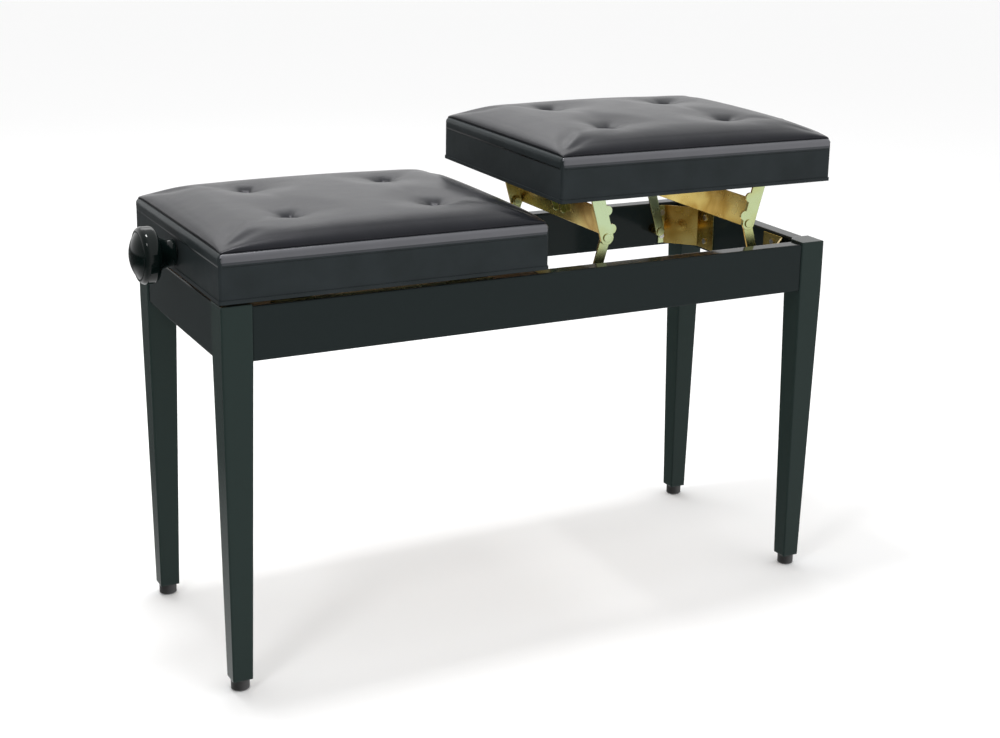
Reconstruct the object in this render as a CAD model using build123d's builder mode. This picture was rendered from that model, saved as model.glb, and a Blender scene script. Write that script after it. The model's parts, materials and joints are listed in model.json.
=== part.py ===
"""Duet piano bench: a lacquered frame with two seats that rise level on folding steel leaves.

Millimetres, +Z up, +X along the bench to the right, -Y to the front.
The origin is on the floor under the middle of the bench.
The left seat is lowered and the right seat is raised.
"""

import os
from math import acos, asin, cos, degrees, radians, sin, sqrt, tan

from build123d import *

os.makedirs("parts", exist_ok=True)

# Frame of legs and aprons
frame_depth = 300.0
leg_height = 430.0
leg_top_width = 33.0
leg_foot_width = 22.0
leg_edge_radius = 1.5
leg_top_round = 1.0
glide_height = 13.0
glide_radius = 10.0
glide_edge = 1.5
glide_stem_radius = 3.0
glide_stem_length = 18.0
apron_height = 58.0
apron_thickness = 20.0
apron_drop = 2.5
apron_setback = 1.5
apron_edge_radius = 2.0
cross_rail_width = 18.0
cross_rail_height = 44.0

# Corner braces, hanger bolts and wood screws
brace_thickness = 2.0
brace_height = 52.0
brace_bend = 34.0
brace_side_flange = 9.0
brace_end_flange = 38.0
brace_screw_spread = 32.0
leg_corner_cut = 10.0
bolt_radius = 3.0
bolt_embedded = 30.0
bolt_tail = 5.0
nut_flange_radius = 8.0
nut_flange_thickness = 1.5
nut_hex_radius = 5.8
nut_height = 6.0
screw_radius = 1.75
screw_length = 14.0
screw_head_radius = 3.6
screw_head_height = 1.8

# Seat boxes and cushions
seat_gap = 14.0
seat_length = 374.0
seat_overhang = 1.0
seat_rest_gap = 2.5
seat_lift = 73.0
band_thickness = 1.5
band_corner_radius = 3.0
hem_height = 4.0
hem_proud = 0.8
side_rail_thickness = 18.0
long_rail_thickness = 20.0
seat_rail_height = 38.0
board_thickness = 10.0
crown_height = 26.0
cross_arch_height = 30.0
shoulder_base = 3.0
shoulder_top = 16.0
shoulder_run = 28.0
cushion_corner_cut = 3.0
tuft_spacing_x = 168.0
tuft_spacing_y = 140.0
tuft_radius = 32.0
tuft_depth = 11.0
tuft_pit_radius = 3.0
tuft_shoulder_radius = 11.0
tuft_shoulder_depth = 4.5

# Folding leaves
steel = 2.5
link_length = 61.0
raised_angle = radians(16.0)
pivot_inset = 70.0
leaf_offset = 4.0
pivot_rise = 5.0
rivet_radius = 3.0
rivet_head_radius = 5.0
rivet_head = 1.5
leaf_gap = 0.4
rail_to_link = 12.0
upper_link_radius = 8.5
web_clearance = 0.6
lobe_radius = 6.0
lobe_offset = 8.5
lobe_near_knee = 8.0
lobe_far_knee = 31.0
upper_web_start = 30.0
upper_web_past_knee = 4.0
lower_link_radius = 6.3
pivot_bolt_collar = 6.5
pivot_rail_height = 20.0
pivot_rail_below_box = 2.0
pivot_rail_overhang = 8.0
rail_screw_pitch = 28.0

# Spindle, travellers and knob
spindle_rise = 16.0
spindle_radius = 5.0
traveller_length = 18.0
traveller_width = 14.0
traveller_height = 18.0
trunnion_radius = 3.0
trunnion_reach = 12.5
ear_gap = 1.0
ear_thickness = 3.0
ear_eye_margin = 3.6
ear_root_radius = 4.5
ear_root_length = 14.0
slot_clearance = 0.4
slot_spare = 0.4
fair_share = 0.85
bush_radius = 9.0
bush_flange_radius = 13.0
bush_flange = 3.0
inner_bearing_length = 14.0
collar_radius = 8.0
collar_length = 6.0
knob_gap = 2.0
knob_neck_radius = 15.0
knob_neck_length = 4.0
knob_flare_radius = 23.0
knob_flare_length = 15.0
knob_flare_bend_length = 10.5
knob_flare_bend_rise = 3.0
knob_rim_radius = 31.0
knob_rim_width = 19.0
knob_rim_round = 6.0
knob_dome = 8.0
knob_bore_wall = 12.0

# Fits
running_fit = 0.05
screw_hole_fit = 0.25
end_float = 0.2

# Heights and inner faces of the frame, which is as long as the two seats and their gap
frame_length = seat_gap + 2 * seat_length - 2 * seat_overhang
apron_top = leg_height - apron_drop
apron_bottom = apron_top - apron_height
apron_middle = (apron_top + apron_bottom) / 2
leg_x = (frame_length - leg_top_width) / 2
leg_y = (frame_depth - leg_top_width) / 2
inner_x = frame_length / 2 - apron_setback - apron_thickness
inner_y = frame_depth / 2 - apron_setback - apron_thickness

# Seat places: the box is hollow, and the board lies on its rails
seat_low = leg_height + seat_rest_gap
seat_centre = (seat_gap + seat_length) / 2
box_height = seat_rail_height + board_thickness
rail_face_x = seat_length / 2 - band_thickness - side_rail_thickness
rail_face_y = frame_depth / 2 - band_thickness - long_rail_thickness
pivot_reach = seat_length / 2 - pivot_inset
leaf_centre = seat_centre - leaf_offset

# Leaf angles are measured from the vertical, and both links of a pair have the same one
pivot_span_raised = 2 * link_length * cos(raised_angle)
lowered_angle = acos((pivot_span_raised - seat_lift) / (2 * link_length))
middle_angle = (raised_angle + lowered_angle) / 2
half_swing = (lowered_angle - raised_angle) / 2
lower_pivot_z = seat_low + pivot_rise - (pivot_span_raised - seat_lift)

# Stack of plates from the rails inwards, as distances from the middle plane of the bench
pivot_plate_face = rail_face_y - steel
upper_link_outside = pivot_plate_face - rail_to_link
upper_link_inside = upper_link_outside - steel
lower_link_outside = upper_link_inside - leaf_gap
lower_link_inside = lower_link_outside - steel

# The travellers move in proportion to the leaf angle, close to the true tangent curve
fair_angle = fair_share * half_swing
traveller_rate = spindle_rise * tan(fair_angle) / fair_angle

corners = {"front_left": (-1, -1), "front_right": (1, -1), "rear_left": (-1, 1), "rear_right": (1, 1)}
seats = {"left": (-1, seat_low, lowered_angle), "right": (1, seat_low + seat_lift, raised_angle)}


def save(builder, name):
    """Label a finished piece and write it under its own name."""
    builder.part.label = name
    export_step(builder.part, f"parts/{name}.step")


def bolt_plane(sx, sy):
    """Plane on the cut corner of a leg, facing the middle of the bench."""
    reach_x = frame_length / 2 - leg_top_width + leg_corner_cut / 2
    reach_y = frame_depth / 2 - leg_top_width + leg_corner_cut / 2
    return Plane(origin=(sx * reach_x, sy * reach_y, apron_middle), z_dir=(-sx, -sy, 0))


def brace_seat_distance():
    """Distance from a leg's cut corner to the near face of the brace, along the bolt."""
    corner = leg_top_width - apron_setback - apron_thickness - leg_corner_cut / 2
    return (brace_bend - 2 * corner) / sqrt(2)


def long_apron_screws(sy):
    """Screw planes on the brace flanges along a long apron."""
    planes = []
    for sx in (-1, 1):
        for step in (-1, 1):
            x = sx * (inner_x - brace_bend - brace_side_flange / 2)
            z = apron_middle + step * brace_screw_spread / 2
            planes.append(Plane(origin=(x, sy * (inner_y - brace_thickness), z), z_dir=(0, -sy, 0)))
    return planes


def base_pivots(sy):
    """Planes of the pivot bolts on a long apron, two for each seat."""
    places = [sx * leaf_centre + step * pivot_reach for sx in (-1, 1) for step in (-1, 1)]
    return [Plane(origin=(x, sy * inner_y, lower_pivot_z), z_dir=(0, -sy, 0)) for x in places]


def end_apron_screws(sx):
    """Screw planes on the brace flanges along an end apron."""
    planes = []
    for sy in (-1, 1):
        for step in (-1, 1):
            y = sy * (inner_y - brace_bend - brace_end_flange / 2)
            z = apron_middle + step * brace_screw_spread / 2
            planes.append(Plane(origin=(sx * (inner_x - brace_thickness), y, z), z_dir=(-sx, 0, 0)))
    return planes


def drill(planes, radius, depth):
    """Cut a round hole into the part being built, down from each plane."""
    for plane in planes:
        with BuildSketch(plane) as hole:
            Circle(radius)
        extrude(hole.sketch, amount=-depth, mode=Mode.SUBTRACT)


# Legs: square block at the apron, tapered on all four faces down to the glide
for corner, (sx, sy) in corners.items():
    with BuildPart() as leg:
        with BuildSketch(Plane((sx * leg_x, sy * leg_y, glide_height))):
            RectangleRounded(leg_foot_width, leg_foot_width, leg_edge_radius)
        with BuildSketch(Plane((sx * leg_x, sy * leg_y, apron_bottom))) as block:
            RectangleRounded(leg_top_width, leg_top_width, leg_edge_radius)
        loft()
        extrude(block.sketch, amount=leg_height - apron_bottom)
        fillet(leg.faces().sort_by(Axis.Z)[-1].edges(), radius=leg_top_round)
        with BuildSketch(Plane.XY.offset(apron_bottom)):
            cut_x = frame_length / 2 - leg_top_width
            cut_y = frame_depth / 2 - leg_top_width
            with BuildLine():
                Polyline(
                    (sx * cut_x, sy * cut_y),
                    (sx * (cut_x + leg_corner_cut), sy * cut_y),
                    (sx * cut_x, sy * (cut_y + leg_corner_cut)),
                    close=True,
                )
            make_face()
        extrude(amount=leg_height - apron_bottom, mode=Mode.SUBTRACT)
        drill([bolt_plane(sx, sy)], bolt_radius + running_fit, bolt_embedded + bolt_radius)
        with BuildSketch(Plane((sx * leg_x, sy * leg_y, glide_height))):
            Circle(glide_stem_radius + running_fit)
        extrude(amount=glide_stem_length + glide_stem_radius, mode=Mode.SUBTRACT)
    save(leg, f"leg_{corner}")

# Round glides with a stem driven into each foot
with BuildPart() as glides:
    for sx, sy in corners.values():
        with BuildSketch(Plane((sx * leg_x, sy * leg_y, 0))):
            Circle(glide_radius)
        extrude(amount=glide_height)
        with BuildSketch(Plane((sx * leg_x, sy * leg_y, glide_height))):
            Circle(glide_stem_radius)
        extrude(amount=glide_stem_length)
    chamfer(glides.edges().group_by(Axis.Z)[0], length=glide_edge)
save(glides, "leg_glides")

# Long aprons between the legs, drilled for the plates they carry
for name, sy in (("apron_front", -1), ("apron_rear", 1)):
    with BuildPart() as apron:
        with BuildSketch(Plane((0, sy * (inner_y + apron_thickness / 2), apron_bottom))):
            Rectangle(frame_length - 2 * leg_top_width, apron_thickness)
        extrude(amount=apron_height)
        fillet(apron.edges().group_by(Axis.Z)[-1].filter_by(Axis.X), radius=apron_edge_radius)
        drill(long_apron_screws(sy), screw_radius + running_fit, screw_length)
        drill(base_pivots(sy), rivet_radius + running_fit, screw_length + rivet_radius)
    save(apron, name)

# End aprons
for name, sx in (("apron_left", -1), ("apron_right", 1)):
    with BuildPart() as apron:
        with BuildSketch(Plane((sx * (inner_x + apron_thickness / 2), 0, apron_bottom))):
            Rectangle(apron_thickness, frame_depth - 2 * leg_top_width)
        extrude(amount=apron_height)
        fillet(apron.edges().group_by(Axis.Z)[-1].filter_by(Axis.Y), radius=apron_edge_radius)
        drill(end_apron_screws(sx), screw_radius + running_fit, screw_length)
    save(apron, name)

# Cross rail under the gap between the seats
with BuildPart() as cross_rail:
    with BuildSketch(Plane.XY.offset(apron_bottom)):
        Rectangle(cross_rail_width, 2 * inner_y)
    extrude(amount=cross_rail_height)
save(cross_rail, "centre_cross_rail")

# Corner braces: a strip bent across the corner, with a flange on each apron
for corner, (sx, sy) in corners.items():
    with BuildPart() as brace:
        inside_bend = brace_bend + brace_thickness * (sqrt(2) - 1)
        side_end = brace_bend + brace_side_flange
        end_end = brace_bend + brace_end_flange
        strip = [
            (side_end, 0),
            (brace_bend, 0),
            (0, brace_bend),
            (0, end_end),
            (brace_thickness, end_end),
            (brace_thickness, inside_bend),
            (inside_bend, brace_thickness),
            (side_end, brace_thickness),
        ]
        with BuildSketch(Plane.XY.offset(apron_middle - brace_height / 2)):
            with BuildLine():
                Polyline([(sx * (inner_x - p), sy * (inner_y - q)) for p, q in strip], close=True)
            make_face()
        extrude(amount=brace_height)
        drill([bolt_plane(sx, sy).offset(2 * brace_bend)], bolt_radius + screw_hole_fit, 2 * brace_bend)
        flange_screws = [plane for plane in long_apron_screws(sy) if plane.origin.X * sx > 0]
        flange_screws += [plane for plane in end_apron_screws(sx) if plane.origin.Y * sy > 0]
        drill(flange_screws, screw_radius + screw_hole_fit, brace_thickness)
    save(brace, f"corner_brace_{corner}")

# Hanger bolts through the braces, each with a flange nut
with BuildPart() as hanger_bolts:
    nut_seat = brace_seat_distance() + brace_thickness
    for sx, sy in corners.values():
        with BuildSketch(bolt_plane(sx, sy).offset(-bolt_embedded)):
            Circle(bolt_radius)
        extrude(amount=bolt_embedded + nut_seat + nut_height + bolt_tail)
        with BuildSketch(bolt_plane(sx, sy).offset(nut_seat)):
            Circle(nut_flange_radius)
            Circle(bolt_radius + running_fit, mode=Mode.SUBTRACT)
        extrude(amount=nut_flange_thickness)
        with BuildSketch(bolt_plane(sx, sy).offset(nut_seat + nut_flange_thickness)):
            RegularPolygon(nut_hex_radius, 6)
            Circle(bolt_radius + running_fit, mode=Mode.SUBTRACT)
        extrude(amount=nut_height - nut_flange_thickness)
save(hanger_bolts, "hanger_bolts")

# Wood screws that hold the braces
with BuildPart() as frame_screws:
    screw_planes = []
    for side in (-1, 1):
        screw_planes += long_apron_screws(side) + end_apron_screws(side)
    for plane in screw_planes:
        with BuildSketch(plane.offset(-screw_length)):
            Circle(screw_radius)
        extrude(amount=screw_length)
        with BuildSketch(plane):
            Circle(screw_head_radius)
        extrude(amount=screw_head_height)
save(frame_screws, "frame_screws")


def pivots(outward):
    """Pivot places of a seat along X."""
    return [outward * leaf_centre + step * pivot_reach for step in (-1, 1)]


def shouldered(x, sy, z, tail, collar_from, collar_to, head_from, collar_radius=rivet_head_radius):
    """Rivet or bolt along Y, given as distances from the middle plane: tail, collar, and inner head."""
    steps = (
        (tail, head_from, rivet_radius),
        (collar_from, collar_to, collar_radius),
        (head_from, head_from - rivet_head, rivet_head_radius),
    )
    for start, end, radius in steps:
        with BuildSketch(Plane(origin=(x, sy * start, z), z_dir=(0, -sy, 0))) as disc:
            Circle(radius)
        extrude(disc.sketch, amount=start - end)


# Shoulder bolts in the long aprons, which the lower links turn on
with BuildPart() as pivot_bolts:
    for sy in (-1, 1):
        for plane in base_pivots(sy):
            shouldered(
                plane.origin.X,
                sy,
                lower_pivot_z,
                inner_y + screw_length,
                inner_y,
                lower_link_outside + end_float,
                lower_link_inside - end_float,
                pivot_bolt_collar,
            )
save(pivot_bolts, "base_pivot_bolts")


def upper_leaf(name, pivot_x, pivot_z, toward, angle):
    """Upper leaf: two lobed links, the web on their knee side, and two slotted ears on the web."""
    along = (toward * sin(angle), 0, -cos(angle))
    web_middle = (upper_web_start + link_length + upper_web_past_knee) / 2
    web_length = link_length + upper_web_past_knee - upper_web_start
    slot_near = spindle_rise - slot_spare
    slot_far = spindle_rise / cos(half_swing) + slot_spare
    slot_half_width = trunnion_radius + slot_clearance
    slot_dir = Vector(-cos(middle_angle), sin(middle_angle))
    ear_middle = traveller_width / 2 + ear_gap + ear_thickness / 2
    web_offset = lower_link_radius + web_clearance + steel / 2
    root_height = web_offset - ear_root_radius

    def leaf_plane(y):
        return Plane(origin=(pivot_x, y, pivot_z), x_dir=along, z_dir=(0, -toward, 0))

    with BuildPart() as leaf:
        for sy in (-1, 1):
            with BuildSketch(leaf_plane(sy * (upper_link_outside + upper_link_inside) / 2)):
                with Locations((0, 0), (link_length, 0)):
                    Circle(upper_link_radius)
                make_hull()
                with Locations(
                    (link_length - lobe_near_knee, lobe_offset), (link_length - lobe_far_knee, lobe_offset)
                ):
                    Circle(lobe_radius)
                with Locations((0, 0), (link_length, 0)):
                    Circle(rivet_radius + running_fit, mode=Mode.SUBTRACT)
            extrude(amount=steel / 2, both=True)
        with BuildSketch(leaf_plane(0)):
            with Locations((web_middle, web_offset)):
                Rectangle(web_length, steel)
        extrude(amount=upper_link_inside, both=True)
        for sy in (-1, 1):
            with BuildSketch(leaf_plane(sy * ear_middle)):
                with Locations(slot_dir * slot_near, slot_dir * slot_far):
                    Circle(slot_half_width + ear_eye_margin)
                root_start = upper_web_start + ear_root_radius
                with Locations((root_start, root_height), (root_start + ear_root_length, root_height)):
                    Circle(ear_root_radius)
                make_hull()
                with Locations(slot_dir * ((slot_near + slot_far) / 2)):
                    SlotCenterToCenter(
                        slot_far - slot_near,
                        2 * slot_half_width,
                        rotation=180 - degrees(middle_angle),
                        mode=Mode.SUBTRACT,
                    )
            extrude(amount=ear_thickness / 2, both=True)
    save(leaf, name)


def lower_leaf(name, pivot_x, toward, angle):
    """Lower leaf: a front and a rear link inside the upper ones."""
    along = (toward * sin(angle), 0, cos(angle))
    link_middle = (lower_link_outside + lower_link_inside) / 2
    with BuildPart() as links:
        for sy in (-1, 1):
            foot = (pivot_x, sy * link_middle, lower_pivot_z)
            plane = Plane(origin=foot, x_dir=along, z_dir=(0, toward, 0))
            with BuildSketch(plane):
                with Locations((0, 0), (link_length, 0)):
                    Circle(lower_link_radius)
                make_hull()
                with Locations((0, 0), (link_length, 0)):
                    Circle(rivet_radius + running_fit, mode=Mode.SUBTRACT)
            extrude(amount=steel / 2, both=True)
    save(links, name)


def knee_rivets(name, pivot_x, toward, angle):
    """Two rivets through the knees of a leaf pair, headed outside the upper and inside the lower link."""
    x = pivot_x + toward * link_length * sin(angle)
    z = lower_pivot_z + link_length * cos(angle)
    with BuildPart() as rivets:
        for sy in (-1, 1):
            outer = upper_link_outside + rivet_head
            shouldered(x, sy, z, outer, outer, upper_link_outside, lower_link_inside - end_float)
    save(rivets, name)


def traveller(name, x, z):
    """Nut block on the spindle with a trunnion on each side."""
    across = Plane(origin=(x, 0, z), x_dir=(1, 0, 0), z_dir=(0, -1, 0))
    with BuildPart() as block:
        with BuildSketch(across):
            Rectangle(traveller_length, traveller_height)
        extrude(amount=traveller_width / 2, both=True)
        with BuildSketch(across):
            Circle(trunnion_radius)
        extrude(amount=trunnion_reach, both=True)
        with BuildSketch(Plane(origin=(x, 0, z), z_dir=(1, 0, 0))):
            Circle(spindle_radius + running_fit)
        extrude(amount=traveller_length, both=True, mode=Mode.SUBTRACT)
    save(block, name)


def seat_box(side, outward, bottom):
    """Four wooden rails round a hollow, with a plywood board on top."""
    centre = outward * seat_centre
    board_length = seat_length - 2 * band_thickness
    board_depth = frame_depth - 2 * band_thickness
    for name, sy in (("front", -1), ("rear", 1)):
        with BuildPart() as rail:
            with BuildSketch(Plane((centre, sy * (rail_face_y + long_rail_thickness / 2), bottom))):
                Rectangle(board_length, long_rail_thickness)
            extrude(amount=seat_rail_height)
            drill(pivot_rail_screws(outward, sy, bottom), screw_radius + running_fit, screw_length)
        save(rail, f"{side}_seat_rail_{name}")
    for name, direction in (("outer", outward), ("inner", -outward)):
        with BuildPart() as rail:
            rail_x = centre + direction * (rail_face_x + side_rail_thickness / 2)
            with BuildSketch(Plane((rail_x, 0, bottom))):
                Rectangle(side_rail_thickness, 2 * rail_face_y)
            extrude(amount=seat_rail_height)
            if direction == outward:
                face = centre + outward * (seat_length / 2)
                hole = Plane(origin=(face, 0, bottom + pivot_rise + spindle_rise), z_dir=(outward, 0, 0))
                drill([hole], bush_radius + running_fit, band_thickness + side_rail_thickness)
        save(rail, f"{side}_seat_rail_{name}")
    with BuildPart() as board:
        with BuildSketch(Plane((centre, 0, bottom + seat_rail_height))):
            Rectangle(board_length, board_depth)
        extrude(amount=board_thickness)
    save(board, f"{side}_seat_board")


def cover(side, outward, bottom):
    """Leatherette band round the box with a hem at its lower edge."""
    centre = outward * seat_centre
    board_length = seat_length - 2 * band_thickness
    board_depth = frame_depth - 2 * band_thickness
    with BuildPart() as band:
        for proud, height in ((0, box_height), (hem_proud, hem_height)):
            with BuildSketch(Plane((centre, 0, bottom))):
                RectangleRounded(seat_length + 2 * proud, frame_depth + 2 * proud, band_corner_radius)
                Rectangle(board_length, board_depth, mode=Mode.SUBTRACT)
            extrude(amount=height)
        face = centre + outward * (seat_length / 2)
        hole = Plane(origin=(face, 0, bottom + pivot_rise + spindle_rise), z_dir=(outward, 0, 0))
        drill([hole], bush_radius + running_fit, band_thickness)
    save(band, f"{side}_seat_band")


def cushion(side, outward, bottom):
    """Padded top panel: a crown that rises from the seam, drawn down at four sewn tufts."""
    centre = outward * seat_centre
    seam = bottom + box_height
    round_in = 1 - sqrt(0.5)
    lengthwise = Plane(origin=(centre, 0, seam), x_dir=(1, 0, 0), z_dir=(0, -1, 0))
    crosswise = Plane(origin=(centre, 0, seam), x_dir=(0, 1, 0), z_dir=(1, 0, 0))
    with BuildPart() as pad:
        with BuildSketch(Plane((centre, 0, seam))) as outline:
            Rectangle(seat_length, frame_depth)
            chamfer(outline.vertices(), length=cushion_corner_cut)
        extrude(amount=cross_arch_height + shoulder_base)
        for plane, half, arch_height, across in (
            (lengthwise, seat_length / 2, crown_height, frame_depth),
            (crosswise, frame_depth / 2, cross_arch_height, seat_length),
        ):
            with BuildSketch(plane):
                with BuildLine():
                    bend_x = half - round_in * shoulder_run
                    bend_z = shoulder_top - round_in * (shoulder_top - shoulder_base)
                    crown_x = half - shoulder_run
                    Polyline((half, shoulder_base), (half, 0), (-half, 0), (-half, shoulder_base))
                    ThreePointArc((-half, shoulder_base), (-bend_x, bend_z), (-crown_x, shoulder_top))
                    ThreePointArc((-crown_x, shoulder_top), (0, arch_height), (crown_x, shoulder_top))
                    ThreePointArc((crown_x, shoulder_top), (bend_x, bend_z), (half, shoulder_base))
                make_face()
            extrude(amount=across, both=True, mode=Mode.INTERSECT)
        for step_x in (-1, 1):
            for step_y in (-1, 1):
                x = centre + step_x * tuft_spacing_x / 2
                y = step_y * tuft_spacing_y / 2
                above = Plane(origin=(x, y, seam + crown_height), x_dir=(1, 0, 0), z_dir=(0, -1, 0))
                with BuildSketch(above):
                    with BuildLine():
                        Polyline((tuft_radius, 0), (0, 0), (0, -tuft_depth), (tuft_pit_radius, -tuft_depth))
                        ThreePointArc(
                            (tuft_pit_radius, -tuft_depth),
                            (tuft_shoulder_radius, -tuft_shoulder_depth),
                            (tuft_radius, 0),
                        )
                    make_face()
                revolve(axis=Axis((x, y, 0), (0, 0, 1)), mode=Mode.SUBTRACT)
    save(pad, f"{side}_cushion")


def pivot_rail_screws(outward, sy, bottom):
    """Screw planes on a steel pivot rail inside the seat box."""
    z = bottom + pivot_rail_height / 2 - pivot_rail_below_box
    steps = [outward * leaf_centre + step * rail_screw_pitch for step in (-1, 0, 1)]
    return [Plane(origin=(x, sy * pivot_plate_face, z), z_dir=(0, -sy, 0)) for x in steps]


def pivot_rails(side, outward, bottom):
    """Steel pivot rails inside the box, with their rivets and screws."""
    pivot_z = bottom + pivot_rise
    rail_bottom = bottom - pivot_rail_below_box
    with BuildPart() as rails:
        for sy in (-1, 1):
            with BuildSketch(Plane((outward * leaf_centre, sy * (rail_face_y - steel / 2), rail_bottom))):
                Rectangle(2 * (pivot_reach + pivot_rail_overhang), steel)
            extrude(amount=pivot_rail_height)
            for x in pivots(outward):
                hole = Plane(origin=(x, sy * pivot_plate_face, pivot_z), z_dir=(0, -sy, 0))
                drill([hole], rivet_radius + running_fit, steel)
            drill(pivot_rail_screws(outward, sy, bottom), screw_radius + screw_hole_fit, steel)
    save(rails, f"{side}_pivot_rails")
    with BuildPart() as rivets:
        for sy in (-1, 1):
            for x in pivots(outward):
                collar_to = upper_link_outside + end_float
                head_from = upper_link_inside - end_float
                shouldered(x, sy, pivot_z, rail_face_y, pivot_plate_face, collar_to, head_from)
    save(rivets, f"{side}_pivot_rivets")
    with BuildPart() as screws:
        for sy in (-1, 1):
            for plane in pivot_rail_screws(outward, sy, bottom):
                with BuildSketch(plane.offset(-screw_length)):
                    Circle(screw_radius)
                extrude(amount=screw_length)
                with BuildSketch(plane):
                    Circle(screw_head_radius)
                extrude(amount=screw_head_height)
    save(screws, f"{side}_pivot_rail_screws")


def spindle_set(side, outward, bottom):
    """Spindle across the box in two bearings, with a turned knob on its outer end."""
    centre = outward * seat_centre
    axis_z = bottom + pivot_rise + spindle_rise
    knob_depth = knob_neck_length + knob_flare_length + knob_rim_width + knob_dome
    bore_depth = knob_depth - knob_bore_wall
    knob_back = seat_length / 2 + knob_gap

    def facing(distance):
        return Plane(origin=(centre + outward * distance, 0, axis_z), z_dir=(outward, 0, 0))

    with BuildPart() as bearings:
        with BuildSketch(facing(rail_face_x - bush_flange)):
            Circle(bush_flange_radius)
            Circle(spindle_radius + running_fit, mode=Mode.SUBTRACT)
        extrude(amount=bush_flange)
        with BuildSketch(facing(rail_face_x)):
            Circle(bush_radius)
            Circle(spindle_radius + running_fit, mode=Mode.SUBTRACT)
        extrude(amount=side_rail_thickness + band_thickness)
        for radius, length in ((bush_flange_radius, bush_flange), (bush_radius, inner_bearing_length)):
            with BuildSketch(facing(-rail_face_x)):
                Circle(radius)
                Circle(spindle_radius + running_fit, mode=Mode.SUBTRACT)
            extrude(amount=length)
    save(bearings, f"{side}_spindle_bearings")

    with BuildPart() as spindle:
        start = -rail_face_x + end_float
        with BuildSketch(facing(start)):
            Circle(spindle_radius)
        extrude(amount=knob_back + bore_depth - end_float - start)
        with BuildSketch(facing(rail_face_x - bush_flange - end_float - collar_length)):
            Circle(collar_radius)
        extrude(amount=collar_length)
    save(spindle, f"{side}_spindle")

    with BuildPart() as knob:
        bore = spindle_radius + running_fit
        flare_start = knob_neck_length
        rim_start = flare_start + knob_flare_length
        rim_end = rim_start + knob_rim_width
        turned = Plane(
            origin=(centre + outward * knob_back, 0, axis_z), x_dir=(outward, 0, 0), z_dir=(0, -outward, 0)
        )
        rim_side = knob_rim_radius - knob_rim_round
        bevel = knob_rim_round * (1 - sqrt(0.5))
        dome_radius = (rim_side**2 + knob_dome**2) / (2 * knob_dome)
        dome_half = asin(rim_side / dome_radius) / 2
        dome_point = (knob_depth - dome_radius * (1 - cos(dome_half)), dome_radius * sin(dome_half))
        with BuildSketch(turned):
            with BuildLine():
                Polyline((0, bore), (0, knob_neck_radius), (flare_start, knob_neck_radius))
                ThreePointArc(
                    (flare_start, knob_neck_radius),
                    (flare_start + knob_flare_bend_length, knob_neck_radius + knob_flare_bend_rise),
                    (rim_start, knob_flare_radius),
                )
                Line((rim_start, knob_flare_radius), (rim_start, rim_side))
                ThreePointArc(
                    (rim_start, rim_side),
                    (rim_start + bevel, knob_rim_radius - bevel),
                    (rim_start + knob_rim_round, knob_rim_radius),
                )
                Line(
                    (rim_start + knob_rim_round, knob_rim_radius),
                    (rim_end - knob_rim_round, knob_rim_radius),
                )
                ThreePointArc(
                    (rim_end - knob_rim_round, knob_rim_radius),
                    (rim_end - bevel, knob_rim_radius - bevel),
                    (rim_end, rim_side),
                )
                ThreePointArc((rim_end, rim_side), dome_point, (knob_depth, 0))
                Polyline((knob_depth, 0), (bore_depth, 0), (bore_depth, bore), (0, bore))
            make_face()
        revolve(axis=Axis((0, 0, axis_z), (1, 0, 0)))
    save(knob, f"{side}_knob")


# The two seats with their leaves, spindles and knobs
for side, (outward, bottom, angle) in seats.items():
    pivot_z = bottom + pivot_rise
    seat_box(side, outward, bottom)
    cover(side, outward, bottom)
    cushion(side, outward, bottom)
    pivot_rails(side, outward, bottom)
    spindle_set(side, outward, bottom)
    for place, direction in (("outer", outward), ("inner", -outward)):
        pivot_x = outward * leaf_centre + direction * pivot_reach
        toward = -direction
        traveller_x = pivot_x - toward * traveller_rate * (angle - middle_angle)
        lower_leaf(f"{side}_lower_leaf_{place}", pivot_x, toward, angle)
        upper_leaf(f"{side}_upper_leaf_{place}", pivot_x, pivot_z, toward, angle)
        knee_rivets(f"{side}_knee_rivets_{place}", pivot_x, toward, angle)
        traveller(f"{side}_traveller_{place}", traveller_x, pivot_z + spindle_rise)
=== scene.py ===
"""Dressed scene of the duet piano bench: lacquer, leatherette pads, zinc-plated leaves, studio floor."""

import json
import math

import bpy
import numpy as np
from mathutils import Matrix, Vector


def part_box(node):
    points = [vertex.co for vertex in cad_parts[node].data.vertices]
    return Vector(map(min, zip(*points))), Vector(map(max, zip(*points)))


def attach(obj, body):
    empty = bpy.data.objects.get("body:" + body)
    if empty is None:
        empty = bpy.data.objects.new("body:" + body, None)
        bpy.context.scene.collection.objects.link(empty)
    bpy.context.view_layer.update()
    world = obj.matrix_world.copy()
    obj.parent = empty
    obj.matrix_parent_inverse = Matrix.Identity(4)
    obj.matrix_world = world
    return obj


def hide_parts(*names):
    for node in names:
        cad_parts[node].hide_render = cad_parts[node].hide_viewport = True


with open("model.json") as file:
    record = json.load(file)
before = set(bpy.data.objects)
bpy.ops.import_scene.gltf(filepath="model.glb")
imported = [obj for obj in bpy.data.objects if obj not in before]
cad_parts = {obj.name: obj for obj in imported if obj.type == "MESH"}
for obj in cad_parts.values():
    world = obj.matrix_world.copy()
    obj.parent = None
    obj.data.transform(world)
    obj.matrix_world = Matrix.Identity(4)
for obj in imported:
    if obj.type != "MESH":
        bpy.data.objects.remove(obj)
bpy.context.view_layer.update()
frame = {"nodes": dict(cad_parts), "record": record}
NODES = frame["nodes"]
SLOT_OF = {entry["node"]: entry["material_slot"] for entry in frame["record"]["subparts"]}
SIDES = ("left", "right")


def link_object(name, data):
    obj = bpy.data.objects.new(name, data)
    bpy.context.scene.collection.objects.link(obj)
    return obj


# Camera

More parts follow.
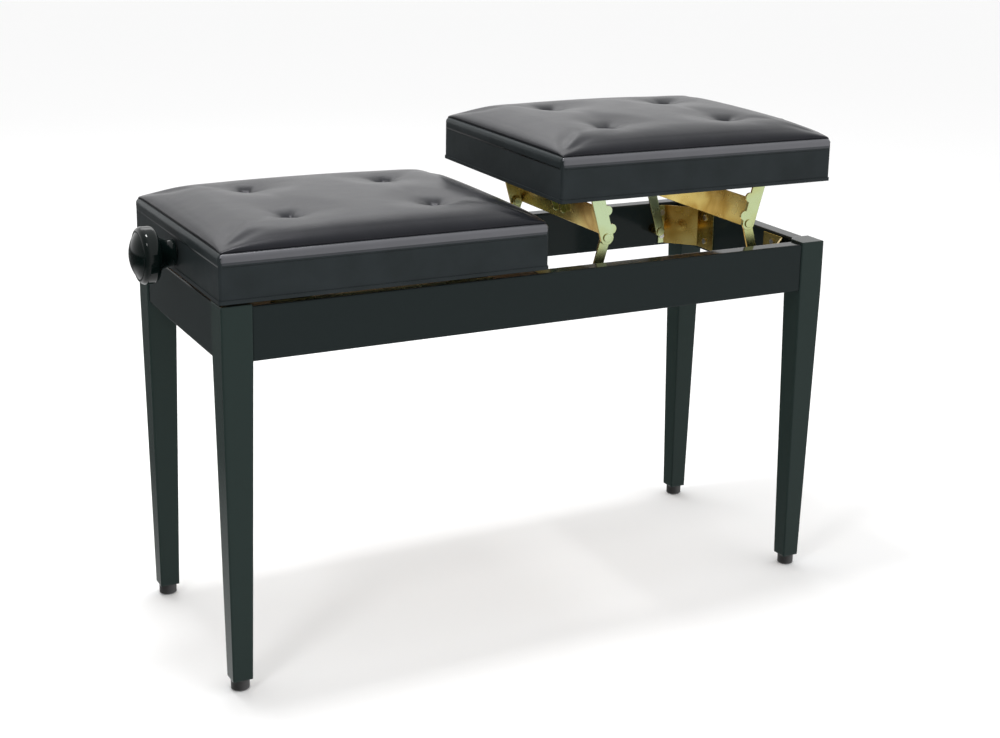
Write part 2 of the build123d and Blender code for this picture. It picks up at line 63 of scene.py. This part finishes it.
CAMERA_PLACE = Vector((-0.8778, -1.7193, 0.8872))
CAMERA_AZIMUTH = math.radians(31.57)
CAMERA_PITCH = math.radians(14.13)
CAMERA_ROLL = math.radians(2.05)
CAMERA_LENS = 59.81
CAMERA_SHIFT = (-0.12, -0.10)


def make_camera():
    data = bpy.data.cameras.new("camera")
    data.sensor_fit = "HORIZONTAL"
    data.sensor_width = 36.0
    data.lens = CAMERA_LENS
    data.shift_x, data.shift_y = CAMERA_SHIFT
    data.clip_start = 0.05
    data.clip_end = 60.0
    data.dof.use_dof = False
    ahead = Vector(
        (
            math.sin(CAMERA_AZIMUTH) * math.cos(CAMERA_PITCH),
            math.cos(CAMERA_AZIMUTH) * math.cos(CAMERA_PITCH),
            -math.sin(CAMERA_PITCH),
        )
    )
    level = Vector((math.cos(CAMERA_AZIMUTH), -math.sin(CAMERA_AZIMUTH), 0.0))
    above = level.cross(ahead)
    right = level * math.cos(CAMERA_ROLL) + above * math.sin(CAMERA_ROLL)
    up = above * math.cos(CAMERA_ROLL) - level * math.sin(CAMERA_ROLL)
    matrix = Matrix((right, up, -ahead)).transposed().to_4x4()
    matrix.translation = CAMERA_PLACE
    camera = link_object("camera", data)
    camera.matrix_world = matrix
    bpy.context.scene.camera = camera


# Materials


class Shader:
    """A material with one Principled shader and short helpers for its nodes."""

    def __init__(self, name):
        self.material = bpy.data.materials.new(name)
        self.material.use_nodes = True
        self.tree = self.material.node_tree
        self.shader = self.tree.nodes["Principled BSDF"]

    def set(self, **values):
        for name, value in values.items():
            self.feed(self.shader.inputs[name.replace("_", " ")], value)

    def feed(self, socket, value):
        """Link a node's output to a socket, or set a plain value on it."""
        if hasattr(value, "is_linked"):
            self.tree.links.new(value, socket)
        else:
            socket.default_value = value

    def node(self, kind, inputs=None, **settings):
        node = self.tree.nodes.new(kind)
        for name, value in settings.items():
            setattr(node, name, value)
        for name, value in (inputs or {}).items():
            self.feed(node.inputs[name], value)
        return node

    def place(self, scale=(1.0, 1.0, 1.0)):
        """Object coordinates, stretched along the given axes."""
        coords = self.node("ShaderNodeTexCoord").outputs["Object"]
        mapping = self.node("ShaderNodeMapping", {"Vector": coords, "Scale": scale})
        return mapping.outputs["Vector"]

    def noise(self, scale, detail=2.0, stretch=(1.0, 1.0, 1.0), roughness=0.5):
        node = self.node(
            "ShaderNodeTexNoise",
            {"Vector": self.place(stretch), "Scale": scale, "Detail": detail, "Roughness": roughness},
        )
        return node.outputs["Fac"]

    def ramp(self, factor, stops):
        node = self.node("ShaderNodeValToRGB", {"Fac": factor})
        elements = node.color_ramp.elements
        while len(elements) < len(stops):
            elements.new(0.5)
        for element, (place, color) in zip(elements, stops):
            element.position = place
            element.color = (*color, 1.0)
        return node.outputs["Color"]

    def span(self, factor, low, high):
        node = self.node("ShaderNodeMapRange", {"Value": factor, "To Min": low, "To Max": high})
        return node.outputs["Result"]

    def bump(self, height, distance, strength=1.0, normal=None):
        inputs = {"Height": height, "Distance": distance, "Strength": strength}
        if normal is not None:
            inputs["Normal"] = normal
        return self.node("ShaderNodeBump", inputs).outputs["Normal"]

    def rounded(self, radius):
        """Shading normal that rounds hard edges."""
        return self.node("ShaderNodeBevel", {"Radius": radius}, samples=6).outputs["Normal"]


def lacquer(name, color):
    """Gloss lacquer with a slight haze and rounded edges."""
    m = Shader(name)
    haze = m.noise(14.0)
    m.set(
        Base_Color=(*color, 1.0),
        Roughness=m.span(haze, 0.07, 0.12),
        IOR=1.18,
        Normal=m.rounded(0.0025),
    )
    return m.material


def knob_gloss():
    m = Shader("black_knob")
    m.set(Base_Color=(0.002, 0.005, 0.0045, 1.0), Roughness=0.06, IOR=1.3)
    return m.material


def leatherette(name, dark, light, gloss):
    """Fine pebble grain over soft folds."""
    m = Shader(name)
    pebbles = m.node(
        "ShaderNodeTexVoronoi",
        {"Vector": m.place(), "Scale": 900.0},
        feature="F1",
        distance="EUCLIDEAN",
    )
    soft = m.noise(28.0, 3.0)
    folds = m.bump(soft, 0.0012, 0.35)
    m.set(
        Base_Color=m.ramp(soft, ((0.3, dark), (0.7, light))),
        Roughness=m.span(soft, 0.29, 0.37),
        Specular_IOR_Level=gloss,
        Specular_Tint=(0.96, 0.94, 1.0, 1.0),
        Normal=m.bump(pebbles.outputs["Distance"], 0.0002, 0.3, folds),
    )
    return m.material


def yellow_zinc():
    """Chromated zinc, golden to brown at random; faces turned to the front or back are painted pale and
    greenish, a painted highlight that makes the flat links read lit while the webs and braces stay
    golden.
    """
    m = Shader("yellow_zinc")
    cloud = m.noise(20.0)
    gold = m.ramp(
        cloud,
        (
            (0.30, (0.72, 0.58, 0.20)),
            (0.45, (0.62, 0.46, 0.13)),
            (0.58, (0.44, 0.27, 0.05)),
            (0.72, (0.62, 0.45, 0.14)),
        ),
    )
    # Painted highlight: a paler, greenish copy of the zinc colour for faces turned to the front or back.
    painted_highlight_tint = m.ramp(cloud, ((0.35, (0.46, 0.56, 0.34)), (0.65, (0.44, 0.46, 0.20))))
    normal = m.node("ShaderNodeNewGeometry").outputs["True Normal"]
    across = m.node("ShaderNodeSeparateXYZ", {"Vector": normal}).outputs["Y"]
    across = m.node("ShaderNodeMath", {0: across}, operation="ABSOLUTE").outputs["Value"]
    # Mask of the faces turned along Y, which take the painted highlight colour.
    flat = m.node("ShaderNodeMapRange", {"Value": across, "From Min": 0.8, "From Max": 0.98})
    color = m.node("ShaderNodeMix", {0: flat.outputs["Result"], 6: gold, 7: painted_highlight_tint}, data_type="RGBA")
    m.set(
        Base_Color=color.outputs[2],
        Metallic=1.0,
        Roughness=m.span(m.noise(60.0), 0.2, 0.32),
        Normal=m.rounded(0.0008),
    )
    return m.material


def bright_steel(name="bright_steel", thread=0.0):
    """Turned steel, with a thread along X where a scale is given for it."""
    m = Shader(name)
    normal = m.rounded(0.0005)
    if thread:
        wave = m.node(
            "ShaderNodeTexWave",
            {"Vector": m.place(), "Scale": thread, "Distortion": 0.0},
            wave_type="BANDS",
            bands_direction="X",
            wave_profile="TRI",
        )
        normal = m.bump(wave.outputs["Fac"], 0.0008, 1.0, normal)
    m.set(
        Base_Color=m.ramp(m.noise(90.0), ((0.3, (0.46, 0.45, 0.43)), (0.7, (0.60, 0.59, 0.56)))),
        Metallic=1.0,
        Roughness=0.3,
        Normal=normal,
    )
    return m.material


def wood(name, along, dark, light):
    """Planed wood with its grain along one axis."""
    m = Shader(name)
    stretch = [14.0, 14.0, 14.0]
    stretch[along] = 0.8
    grain = m.noise(9.0, 5.0, tuple(stretch), 0.62)
    fine = m.noise(60.0, 2.0, tuple(stretch))
    m.set(
        Base_Color=m.ramp(grain, ((0.3, dark), (0.7, light))),
        Roughness=0.6,
        Normal=m.bump(fine, 0.0003, 0.4, m.rounded(0.001)),
    )
    return m.material


def glide_plastic():
    m = Shader("glide_black")
    m.set(
        Base_Color=m.ramp(m.noise(120.0), ((0.3, (0.012, 0.012, 0.012)), (0.7, (0.020, 0.020, 0.020)))),
        Roughness=0.45,
        Normal=m.rounded(0.0008),
    )
    return m.material


BEECH = ((0.34, 0.20, 0.10), (0.50, 0.33, 0.18))
PAD_TONES = ((0.005, 0.006, 0.008), (0.008, 0.009, 0.012))
MATERIALS = {
    "black_lacquer": lacquer("black_lacquer", (0.0120, 0.0175, 0.0178)),
    "black_knob": knob_gloss(),
    "black_leatherette": leatherette("black_leatherette", *PAD_TONES, gloss=0.22),
    "yellow_zinc": yellow_zinc(),
    "bright_steel": bright_steel(),
    "glide_black": glide_plastic(),
    "raw_beech": wood("raw_beech", 0, *BEECH),
    "plywood": wood("plywood", 0, (0.42, 0.28, 0.15), (0.58, 0.42, 0.25)),
}
BEECH_CROSS = wood("raw_beech_cross", 1, *BEECH)
THREADED = bright_steel("threaded_steel", 157.0)
# A lighter copy of the black lacquer for the legs: painted sheen standing in for the light the legs
# catch.
LEG_LACQUER_PAINTED_SHEEN = lacquer("leg_lacquer_painted_sheen", (0.0195, 0.0305, 0.0280))
# Painted highlight: a paler, glossier copy of the leatherette for the crest of the band's rolled edge,
# and a half-strength copy of it just below the crest.
PAINTED_HIGHLIGHT = leatherette("painted_highlight_leatherette", (0.050, 0.053, 0.058), (0.058, 0.061, 0.068), 1.0)
PAINTED_HALF_HIGHLIGHT = leatherette("painted_half_highlight_leatherette", (0.030, 0.034, 0.037), (0.036, 0.040, 0.045), 0.35)
BAND = leatherette("band_leatherette", (0.018, 0.023, 0.024), (0.023, 0.029, 0.031), 0.08)


def give(obj, material):
    obj.data.materials.clear()
    obj.data.materials.append(material)


def dress_nodes():
    """Each CAD node takes the finish of its slot, apart from the few with a finish of their own; the
    legs take a lighter copy of the lacquer, whose extra lightness is a painted sheen.
    """
    for name, obj in NODES.items():
        material = MATERIALS[SLOT_OF[name]]
        if name == "centre_cross_rail" or name.endswith(("seat_rail_outer", "seat_rail_inner")):
            material = BEECH_CROSS
        if name.endswith("_spindle"):
            material = THREADED
        # Legs take the lighter lacquer copy, a painted sheen.
        if name.startswith(("leg_front", "leg_rear")):
            material = LEG_LACQUER_PAINTED_SHEEN
        if name.endswith("_seat_band"):
            material = BAND
        give(obj, material)


# Cover of the padded tops

PAD_CELLS = (52, 42)
CELL_CROWDING = 1.5
PAD_INSET = 0.0042
PAD_BASE = 0.0032
PAD_LIP = 0.0034
LIP_STEEPNESS = 1.6
EDGE_REACH = 0.045
EDGE_HEIGHT = 0.0162
EDGE_POWER = 2.0
EDGE_ROOT = 2.1
CORNER_POWER = 3
CROWN_HEIGHT = 0.0056
CROWN_POWER = 2.5

# Sewn tufts and the creases that run out of them

TUFT_X = 0.084
TUFT_Y = 0.070
TUFT_SIDES = [(sx, sy) for sx in (-1, 1) for sy in (-1, 1)]
TUFT_HEIGHT = 0.0155
TUFT_DIP_RADIUS = 0.018
TUFT_HELD_RADIUS = 0.0055
PIT_DEPTH = 0.0055
PIT_RADIUS = 0.0065
CREASE_COUNT = 5
CREASE_HEIGHT = 0.0007
CREASE_START = 0.006
CREASE_FADE = 0.020
CREASE_REACH = 0.075
CREASE_TURN_X = 1.3
CREASE_TURN_Y = 0.7

# Filling

FILL_PRESSURE = 4.0
FILL_FRAMES = 20
SWELL_LIMIT = 0.0025
SMOOTHING_PASSES = 4
TINY = 1e-9
FLAT_LIMIT = 1e-5
SEAM_LIMIT = 1e-6


def pad_size():
    low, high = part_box("right_cushion")
    return (high.x - low.x) / 2, (high.y - low.y) / 2


def tuft_distance(x, y):
    return min(math.hypot(x - sx * TUFT_X, y - sy * TUFT_Y) for sx, sy in TUFT_SIDES)


def edge(run):
    """Share of the rounded edge's height at a run in from the seam."""
    return (1 - (1 - min(1.0, run / EDGE_REACH)) ** EDGE_POWER) ** (1 / EDGE_ROOT)


def lip(run):
    """Outward bulge of the cover low on its edge."""
    height = min(1.0, LIP_STEEPNESS * edge(run))
    return PAD_LIP * 4 * height * (1 - height)


def cover_height(run_x, run_y, half_x, half_y):
    """Rounded edge with a broad crown, from the runs to the two nearest sides."""
    fall = ((1 - edge(run_x)) ** CORNER_POWER + (1 - edge(run_y)) ** CORNER_POWER) ** (1 / CORNER_POWER)
    crown = (1 - (1 - run_x / half_x) ** CROWN_POWER) * (1 - (1 - run_y / half_y) ** CROWN_POWER)
    return PAD_BASE + EDGE_HEIGHT * max(0.0, 1 - fall) + CROWN_HEIGHT * crown


def grid_shares(cells):
    """Shares of the way in from the nearer edge with that edge's sign, close together near the edges."""
    steps = range(2 * cells + 1)
    return [((min(n, 2 * cells - n) / cells) ** CELL_CROWDING, -1 if n < cells else 1) for n in steps]


def slack_pad(half_x, half_y):
    """Closed grid: a slack top over a flat bottom, sewn together round the edge."""
    shares_x, shares_y = grid_shares(PAD_CELLS[0]), grid_shares(PAD_CELLS[1])
    nx, ny = len(shares_x) - 1, len(shares_y) - 1
    verts, faces, top, bottom = [], [], {}, {}
    for i, (share_x, side_x) in enumerate(shares_x):
        for j, (share_y, side_y) in enumerate(shares_y):
            run_x, run_y = half_x * share_x, half_y * share_y
            x = side_x * (half_x - run_x + lip(run_x))
            y = side_y * (half_y - run_y + lip(run_y))
            z = cover_height(run_x, run_y, half_x, half_y)
            z += (TUFT_HEIGHT - z) * math.exp(-((tuft_distance(x, y) / TUFT_DIP_RADIUS) ** 2))
            top[i, j] = len(verts)
            verts.append((x, y, z))
    for i, (share_x, side_x) in enumerate(shares_x):
        for j, (share_y, side_y) in enumerate(shares_y):
            if i in (0, nx) or j in (0, ny):
                bottom[i, j] = top[i, j]
                continue
            bottom[i, j] = len(verts)
            verts.append((half_x * (1 - share_x) * side_x, half_y * (1 - share_y) * side_y, 0.0))
    for i in range(nx):
        for j in range(ny):
            ring = ((i, j), (i + 1, j), (i + 1, j + 1), (i, j + 1))
            faces.append([top[k] for k in ring])
            faces.append([bottom[k] for k in reversed(ring)])
    mesh = bpy.data.meshes.new("slack_pad")
    mesh.from_pydata(verts, [], faces)
    held = [
        n
        for n, (x, y, z) in enumerate(verts)
        if z <= PAD_BASE + SEAM_LIMIT or tuft_distance(x, y) < TUFT_HELD_RADIUS
    ]
    return mesh, held


def swollen_places(mesh, held):
    """Vertex places of the cover after its filling has pressed it out for a few frames."""
    obj = link_object("pad_cloth", mesh)
    group = obj.vertex_groups.new(name="held")
    group.add(held, 1.0, "REPLACE")
    cloth = obj.modifiers.new("cloth", "CLOTH")
    cloth.collision_settings.use_collision = False
    settings = cloth.settings
    settings.quality = 6
    settings.mass = 0.25
    settings.tension_stiffness = 12.0
    settings.compression_stiffness = 12.0
    settings.shear_stiffness = 4.0
    settings.bending_stiffness = 0.6
    settings.use_pressure = True
    settings.uniform_pressure_force = FILL_PRESSURE
    settings.effector_weights.gravity = 0.0
    settings.vertex_group_mass = "held"
    scene = bpy.context.scene
    for number in range(1, FILL_FRAMES + 1):
        scene.frame_set(number)
    view = obj.evaluated_get(bpy.context.evaluated_depsgraph_get())
    places = np.array([v.co for v in view.data.vertices])
    scene.frame_set(1)
    bpy.data.objects.remove(obj)
    return places


def filled_pad():
    """The slack cover swollen by its filling, held at the seam and at the four tufts."""
    half_x, half_y = pad_size()
    mesh, held = slack_pad(half_x - PAD_INSET, half_y - PAD_INSET)
    start = np.array([v.co for v in mesh.vertices])
    swollen = swollen_places(mesh, held)
    shift = swollen - start
    length = np.linalg.norm(shift, axis=1, keepdims=True)
    shift *= np.minimum(1.0, SWELL_LIMIT / np.maximum(length, TINY))
    rows, columns = (2 * cells + 1 for cells in PAD_CELLS)
    top = shift[: rows * columns].reshape(rows, columns, 3)
    for _ in range(SMOOTHING_PASSES):
        beside = top[:-2, 1:-1] + top[2:, 1:-1] + top[1:-1, :-2] + top[1:-1, 2:]
        top[1:-1, 1:-1] = (2 * top[1:-1, 1:-1] + beside) / 6
    mesh.vertices.foreach_set("co", (start + shift).astype(np.float32).ravel())
    return mesh


def pull_tufts(mesh):
    """Sew the tufts down after the filling, with short creases that run out of each one."""
    for vert in mesh.vertices:
        if vert.co.z <= FLAT_LIMIT:
            continue
        for sx, sy in TUFT_SIDES:
            dx = vert.co.x - sx * TUFT_X
            dy = vert.co.y - sy * TUFT_Y
            far = math.hypot(dx, dy)
            if far > CREASE_REACH:
                continue
            turn = CREASE_COUNT * math.atan2(dy, dx) + CREASE_TURN_X * sx + CREASE_TURN_Y * sy
            pit = PIT_DEPTH * math.exp(-((far / PIT_RADIUS) ** 2))
            crease = CREASE_HEIGHT * math.cos(turn)
            crease *= math.exp(-far / CREASE_FADE) * min(1.0, far / CREASE_START)
            vert.co.z -= pit - crease


# Rolled top edge of the bands: outward reach, rise and finish of each point of its closed section, where
# the finish is the band's, a half-strength painted highlight or the full painted highlight

ROLL_CORNER = 0.0045
ROLL_CORNER_LEAST = 0.0005
ROLL_PAINTED_TONES = (BAND, PAINTED_HALF_HIGHLIGHT, PAINTED_HIGHLIGHT)
ON_BAND, ON_PAINTED_HALF_HIGHLIGHT, ON_PAINTED_HIGHLIGHT = range(len(ROLL_PAINTED_TONES))
# Points on the crest carry the painted highlight, the point just below them the half-strength painted
# highlight.
ROLL_SECTION = (
    (0.00008, -0.0100, ON_BAND),
    (0.00025, -0.0075, ON_PAINTED_HALF_HIGHLIGHT),
    (0.00045, -0.0048, ON_PAINTED_HIGHLIGHT),
    (0.00055, -0.0022, ON_PAINTED_HIGHLIGHT),
    (0.00040, 0.0000, ON_PAINTED_HIGHLIGHT),
    (-0.0004, 0.0017, ON_PAINTED_HIGHLIGHT),
    (-0.0016, 0.0030, ON_PAINTED_HIGHLIGHT),
    (-0.0030, 0.0038, ON_PAINTED_HIGHLIGHT),
    (-0.0044, 0.0040, ON_BAND),
    (-0.0052, 0.0034, ON_BAND),
    (-0.0052, 0.0010, ON_BAND),
    (-0.0008, 0.0003, ON_BAND),
    (0.00003, -0.0005, ON_BAND),
    (0.00003, -0.0095, ON_BAND),
)


def rounded_ring(half_x, half_y, radius, steps=6):
    """Points of a rounded rectangle, anticlockwise."""
    points = []
    for cx, cy, turn in ((1, 1, 0.0), (-1, 1, 0.5), (-1, -1, 1.0), (1, -1, 1.5)):
        for step in range(steps + 1):
            angle = math.pi * (turn + 0.5 * step / steps)
            x = cx * (half_x - radius) + radius * math.cos(angle)
            y = cy * (half_y - radius) + radius * math.sin(angle)
            points.append((x, y))
    return points


def edge_roll(name, half_x, half_y, centre):
    """Softly rounded top of the band, where the leatherette is drawn over the edge of the box.

    The long front and rear sides carry the painted highlight on the crest and its half-strength step
    below it; the short sides keep the band's finish, with no painted highlight.
    """
    verts, faces, finishes = [], [], []
    for proud, rise, _ in ROLL_SECTION:
        ring = rounded_ring(half_x + proud, half_y + proud, max(ROLL_CORNER_LEAST, ROLL_CORNER + proud))
        verts += [(x + centre.x, y + centre.y, centre.z + rise) for x, y in ring]
    levels = len(ROLL_SECTION)
    count = len(verts) // levels
    for level, (_, _, finish) in enumerate(ROLL_SECTION):
        low, high = level * count, (level + 1) % levels * count
        for n in range(count):
            after = (n + 1) % count
            faces.append((low + n, low + after, high + after, high + n))
            # The painted highlight goes on the long sides only; the short sides take the band's finish.
            along_x = abs(verts[after][0] - verts[n][0]) > abs(verts[after][1] - verts[n][1])
            finishes.append(finish if along_x else ON_BAND)
    mesh = bpy.data.meshes.new(name)
    mesh.from_pydata(verts, [], faces)
    mesh.polygons.foreach_set("use_smooth", [True] * len(faces))
    for material in ROLL_PAINTED_TONES:
        mesh.materials.append(material)
    mesh.polygons.foreach_set("material_index", finishes)
    return link_object(name, mesh)


def make_pads():
    mesh = filled_pad()
    half_x, half_y = pad_size()
    for side in SIDES:
        low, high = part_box(f"{side}_cushion")
        centre = Vector(((low.x + high.x) / 2, 0.0, low.z))
        obj = link_object(f"{side}_pad", mesh.copy())
        smooth = obj.modifiers.new("smooth", "SUBSURF")
        smooth.levels = smooth.render_levels = 1
        view = obj.evaluated_get(bpy.context.evaluated_depsgraph_get())
        fine = bpy.data.meshes.new_from_object(view)
        obj.modifiers.clear()
        obj.data = fine
        pull_tufts(fine)
        fine.transform(Matrix.Translation(centre))
        fine.polygons.foreach_set("use_smooth", [True] * len(fine.polygons))
        give(obj, MATERIALS["black_leatherette"])
        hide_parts(f"{side}_cushion")
        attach(obj, f"{side}_seat")
        roll = edge_roll(f"{side}_edge_roll", half_x, half_y, centre)
        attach(roll, f"{side}_seat")


# Floor and light

FLOOR_REACH = 14.0

# Strength of the world along its bright direction

BRIGHT_DIRECTION = (0.90, 0.43, 0.0)
WORLD_STRENGTH = (-0.9, 0.1, 0.30, 1.22)

# What glossy surfaces see below the horizon, where the floor is hidden from them: it is dark at the far
# edge behind the bench, and bright steeply below and in front. The largest of the three shares counts.

FLOOR_GLOW = (
    ("Z", (-0.13, -0.065, 0.12, 1.0)),
    ("Z", (-0.50, -0.34, 1.0, 0.0)),
    ("Y", (-0.40, 0.30, 1.0, 0.0)),
)


def make_floor():
    mesh = bpy.data.meshes.new("floor")
    corners = [(FLOOR_REACH * x, FLOOR_REACH * y, 0.0) for x, y in ((-1, -1), (1, -1), (1, 1), (-1, 1))]
    mesh.from_pydata(corners, [], [(0, 1, 2, 3)])
    floor = link_object("floor", mesh)
    m = Shader("pale_floor")
    m.set(Base_Color=(0.96, 0.96, 0.96, 1.0), Roughness=0.8, Specular_IOR_Level=0.2)
    give(floor, m.material)
    floor.visible_glossy = False


def make_world():
    world = bpy.data.worlds.new("studio")
    world.use_nodes = True
    nodes, links = world.node_tree.nodes, world.node_tree.links

    def mapped(value, limits):
        node = nodes.new("ShaderNodeMapRange")
        for name, limit in zip(("From Min", "From Max", "To Min", "To Max"), limits):
            node.inputs[name].default_value = limit
        links.new(value, node.inputs["Value"])
        return node.outputs["Result"]

    def combined(operation, first, second):
        node = nodes.new("ShaderNodeMath")
        node.operation = operation
        links.new(first, node.inputs[0])
        links.new(second, node.inputs[1])
        return node.outputs["Value"]

    direction = nodes.new("ShaderNodeTexCoord").outputs["Generated"]
    toward = nodes.new("ShaderNodeVectorMath")
    toward.operation = "DOT_PRODUCT"
    toward.inputs[1].default_value = BRIGHT_DIRECTION
    links.new(direction, toward.inputs[0])
    axes = nodes.new("ShaderNodeSeparateXYZ")
    links.new(direction, axes.inputs["Vector"])
    far, steep, front = (mapped(axes.outputs[axis], limits) for axis, limits in FLOOR_GLOW)
    share = combined("MAXIMUM", combined("MAXIMUM", far, steep), front)
    strength = combined("MULTIPLY", mapped(toward.outputs["Value"], WORLD_STRENGTH), share)
    background = nodes["Background"]
    background.inputs["Color"].default_value = (1.0, 1.0, 1.0, 1.0)
    links.new(strength, background.inputs["Strength"])
    bpy.context.scene.world = world


def area_light(name, place, aim, size, power):
    data = bpy.data.lights.new(name, "AREA")
    data.shape = "RECTANGLE"
    data.size, data.size_y = size
    data.energy = power
    obj = link_object(name, data)
    obj.location = place
    obj.rotation_euler = (Vector(aim) - Vector(place)).to_track_quat("-Z", "Y").to_euler()


def make_lights():
    area_light("overhead", (-0.3, 0.15, 2.3), (-0.3, 0.0, 0.45), (0.5, 0.35), 20.0)
    area_light("window", (-1.3, -0.9, 1.9), (-0.4, 0.0, 0.45), (0.32, 0.32), 6.0)
    area_light("sky_panel", (0.1, 2.0, 2.1), (0.0, 0.0, 0.45), (2.0, 0.8), 10.0)


bpy.context.scene.view_settings.view_transform = "Standard"
make_camera()
dress_nodes()
make_pads()
make_floor()
make_world()
make_lights()
